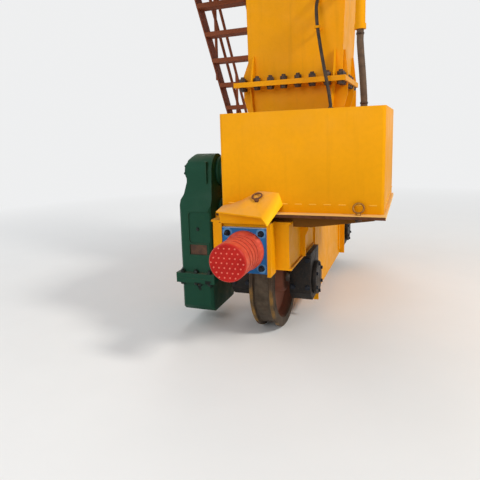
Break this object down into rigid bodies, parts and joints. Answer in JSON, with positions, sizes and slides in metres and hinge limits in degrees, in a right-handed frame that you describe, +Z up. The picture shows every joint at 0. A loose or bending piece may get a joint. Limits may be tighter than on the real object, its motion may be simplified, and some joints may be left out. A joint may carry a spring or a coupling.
{
  "type": "gantry crane leg foot with driven rail bogie",
  "caption": "Lower end of a gantry crane leg: box leg on a bolted foot, rail bogie with flanged wheels, buffer, upright gearbox, motor hood, ground beam stub and stair.",
  "frame": {"origin": "middle of the splice face at the top of the leg section", "axes": "+Z up, out of the splice face; -Y along the rail towards the buffer; +X across the rail, away from the gearbox"},
  "size_m": [2, 4.2722, 4.1301],
  "materials": {
    "yellow_paint": "weathered gloss paint",
    "green_paint": "weathered gloss paint",
    "blue_paint": "gloss paint",
    "red_primer": "matt primer",
    "dark_paint": "matt, dusty",
    "black_iron": "greasy casting",
    "wheel_steel": "worn rolled tread",
    "axle_steel": "turned",
    "buffer_rubber": "moulded polyurethane",
    "hose_rubber": "dusty rubber",
    "cable_rubber": "smooth rubber"
  },
  "bodies": {
    "root": {"bogie_side_left": "yellow_paint", "bogie_side_right": "yellow_paint", "bogie_top_plate": "yellow_paint", "bogie_bottom_plates": "yellow_paint", "bogie_end_plates": "yellow_paint", "bearing_seats": "yellow_paint", "buffer_box": "yellow_paint", "buffer_plate": "blue_paint", "buffer": "buffer_rubber", "buffer_cap": "yellow_paint", "bearing_boxes_front": "black_iron", "bearing_boxes_rear": "black_iron", "bearing_covers_front": "black_iron", "bearing_covers_rear": "black_iron", "gearbox_lower": "green_paint", "gearbox_upper": "green_paint", "gearbox_caps": "green_paint", "torque_bracket": "yellow_paint", "bell_housing": "green_paint", "motor_hood": "yellow_paint", "platform_plate": "dark_paint", "platform_supports": "yellow_paint", "eye_bolt": "dark_paint", "foot_face_plates": "yellow_paint", "foot_side_plates": "yellow_paint", "foot_flange": "yellow_paint", "leg_flange": "yellow_paint", "leg_face_plates": "yellow_paint", "leg_side_plates": "yellow_paint", "flange_gussets": "yellow_paint", "splice_flange": "yellow_paint", "ground_beam": "yellow_paint", "beam_flange": "yellow_paint", "stair_stringers": "red_primer", "stair_treads": "red_primer", "stair_landing": "red_primer", "stair_rails": "red_primer", "stair_brackets": "yellow_paint", "conduit_pipe": "yellow_paint", "conduit_hose": "hose_rubber", "supply_cable": "cable_rubber"},
    "wheel_front": {"wheel_front": "wheel_steel", "axle_front": "axle_steel"},
    "wheel_rear": {"wheel_rear": "wheel_steel", "axle_rear": "axle_steel"}
  },
  "joints": [
    {"name": "wheel_front_spin", "type": "hinge", "parent": "root", "child": "wheel_front", "pos_m": [-0.0614, -1, -3.1], "axis": [1, 0, 0], "continuous": true},
    {"name": "wheel_rear_spin", "type": "hinge", "parent": "root", "child": "wheel_rear", "pos_m": [-0.0614, 1, -3.1], "axis": [1, 0, 0], "continuous": true}
  ]
}
